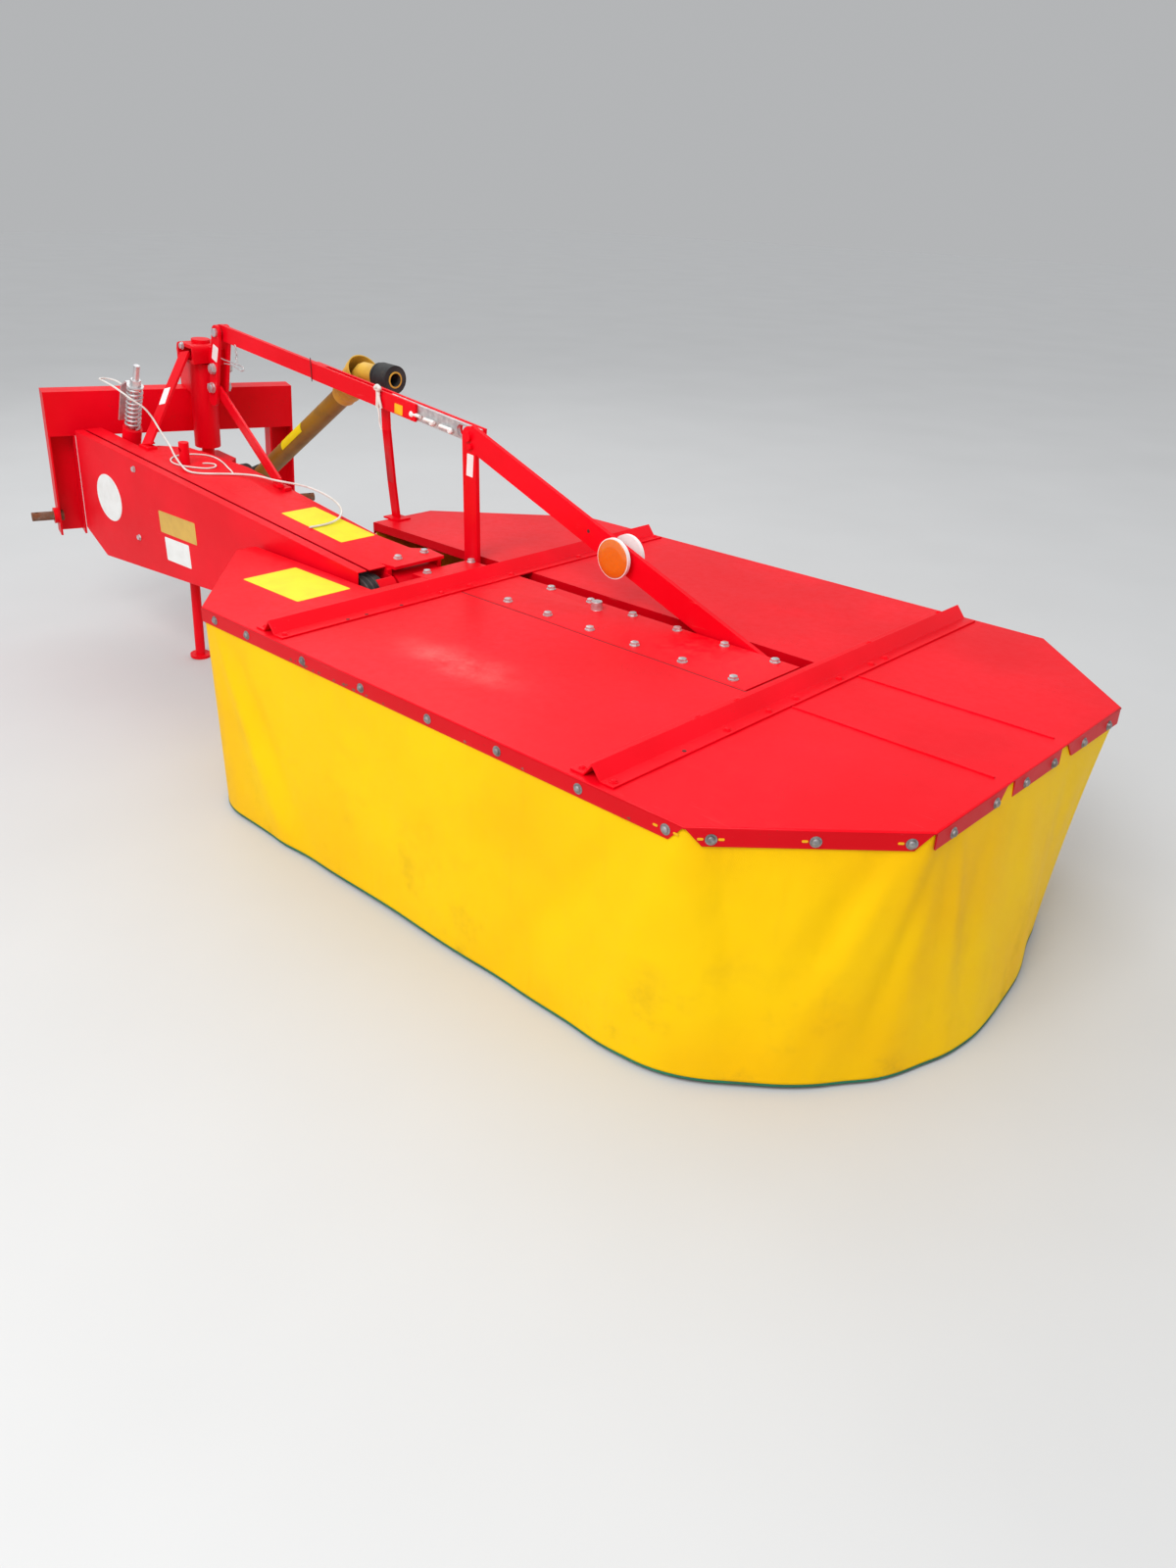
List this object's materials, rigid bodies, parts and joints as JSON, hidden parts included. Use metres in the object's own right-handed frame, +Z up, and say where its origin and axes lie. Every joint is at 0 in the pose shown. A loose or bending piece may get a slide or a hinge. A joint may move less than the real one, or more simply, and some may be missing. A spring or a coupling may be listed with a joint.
{
  "type": "drum mower",
  "caption": "Rotary drum mower with skirted deck, swivel hitch, belt arm and stowed drive shaft, parked in transport position.",
  "frame": {"origin": "centre of the bounding box's base, on the ground", "axes": "+X along the deck away from the hitch, +Y away from the belt side, +Z up"},
  "size_m": [3.2793, 1.2794, 0.9809],
  "materials": {
    "red_paint": "gloss",
    "skirt_cloth": "smooth coated cloth",
    "bare_steel": "lightly rusted",
    "galvanised": "galvanised",
    "black_rubber": "matt",
    "olive_plastic": "satin",
    "yellow_plastic": "satin",
    "reflector": "gloss",
    "cast_steel": "as cast",
    "rope": "twisted cord"
  },
  "bodies": {
    "cutting_unit": {"deck_panel_near": "red_paint", "deck_panel_far": "red_paint", "deck_panel_end": "red_paint", "cross_member_inner": "red_paint", "cross_member_outer": "red_paint", "gear_beam": "red_paint", "gear_cover": "red_paint", "tension_frame": "red_paint", "reflectors": "reflector", "skirt": "skirt_cloth", "skid_dish_inner": "bare_steel", "skid_dish_outer": "bare_steel"},
    "hitch": {"hitch_beam": "red_paint", "hitch_barrel": "red_paint", "lower_pins": "bare_steel"},
    "stand": {"stand_leg": "red_paint"},
    "rotor_inner": {"drum_inner": "red_paint", "knives_inner": "bare_steel"},
    "rotor_outer": {"drum_outer": "red_paint", "knives_outer": "bare_steel"},
    "small_pulley": {"deck_pulley": "cast_steel"},
    "large_pulley": {"input_pulley": "cast_steel"},
    "arm": {"belt_cover": "red_paint", "belt_tray": "red_paint", "v_belts": "black_rubber", "arm_plate": "red_paint", "arm_box": "red_paint", "arm_head": "red_paint", "yoke": "red_paint", "tower_plates": "red_paint", "tower_pin": "galvanised", "stay_near": "red_paint", "stay_far": "red_paint", "latch_housing": "red_paint", "latch_lever": "galvanised", "latch_spring": "galvanised", "latch_rope": "rope", "link_bar": "red_paint", "link_sides": "red_paint", "link_strip": "galvanised", "strut": "red_paint", "shaft_boot": "black_rubber", "shaft_tube": "olive_plastic", "shaft_bell": "yellow_plastic", "shaft_collar": "black_rubber"}
  },
  "joints": [
    {"name": "arm_float", "type": "hinge", "parent": "cutting_unit", "child": "arm", "pos_m": [-0.04064, 0, 0.461], "axis": [0, 1, 0], "range_deg": [0, 8]},
    {"name": "hitch_swivel", "type": "hinge", "parent": "arm", "child": "hitch", "pos_m": [-1.34864, 0.12, 0.57544], "axis": [0.0872, 0, 0.9962], "range_deg": [-50, 0]},
    {"name": "stand_slide", "type": "slide", "parent": "arm", "child": "stand", "axis": [0.0872, 0, 0.9962], "range_m": [0, 0.27]},
    {"name": "drum_inner_spin", "type": "hinge", "parent": "cutting_unit", "child": "rotor_inner", "pos_m": [0.15836, -0.021, 0], "axis": [0, 0, 1], "continuous": true},
    {"name": "drum_outer_spin", "type": "hinge", "parent": "cutting_unit", "child": "rotor_outer", "pos_m": [0.98336, -0.021, 0], "axis": [0, 0, 1], "continuous": true},
    {"name": "small_pulley_spin", "type": "hinge", "parent": "cutting_unit", "child": "small_pulley", "pos_m": [-0.04064, 0, 0.461], "axis": [0, 1, 0], "continuous": true},
    {"name": "large_pulley_spin", "type": "hinge", "parent": "arm", "child": "large_pulley", "pos_m": [-1.31522, 0, 0.4641], "axis": [0, 1, 0], "continuous": true}
  ],
  "couplings": [
    {"joint": "drum_outer_spin", "follows": "drum_inner_spin", "ratio": -1},
    {"joint": "small_pulley_spin", "follows": "drum_inner_spin", "ratio": 0.75},
    {"joint": "large_pulley_spin", "follows": "drum_inner_spin", "ratio": 0.29613}
  ]
}
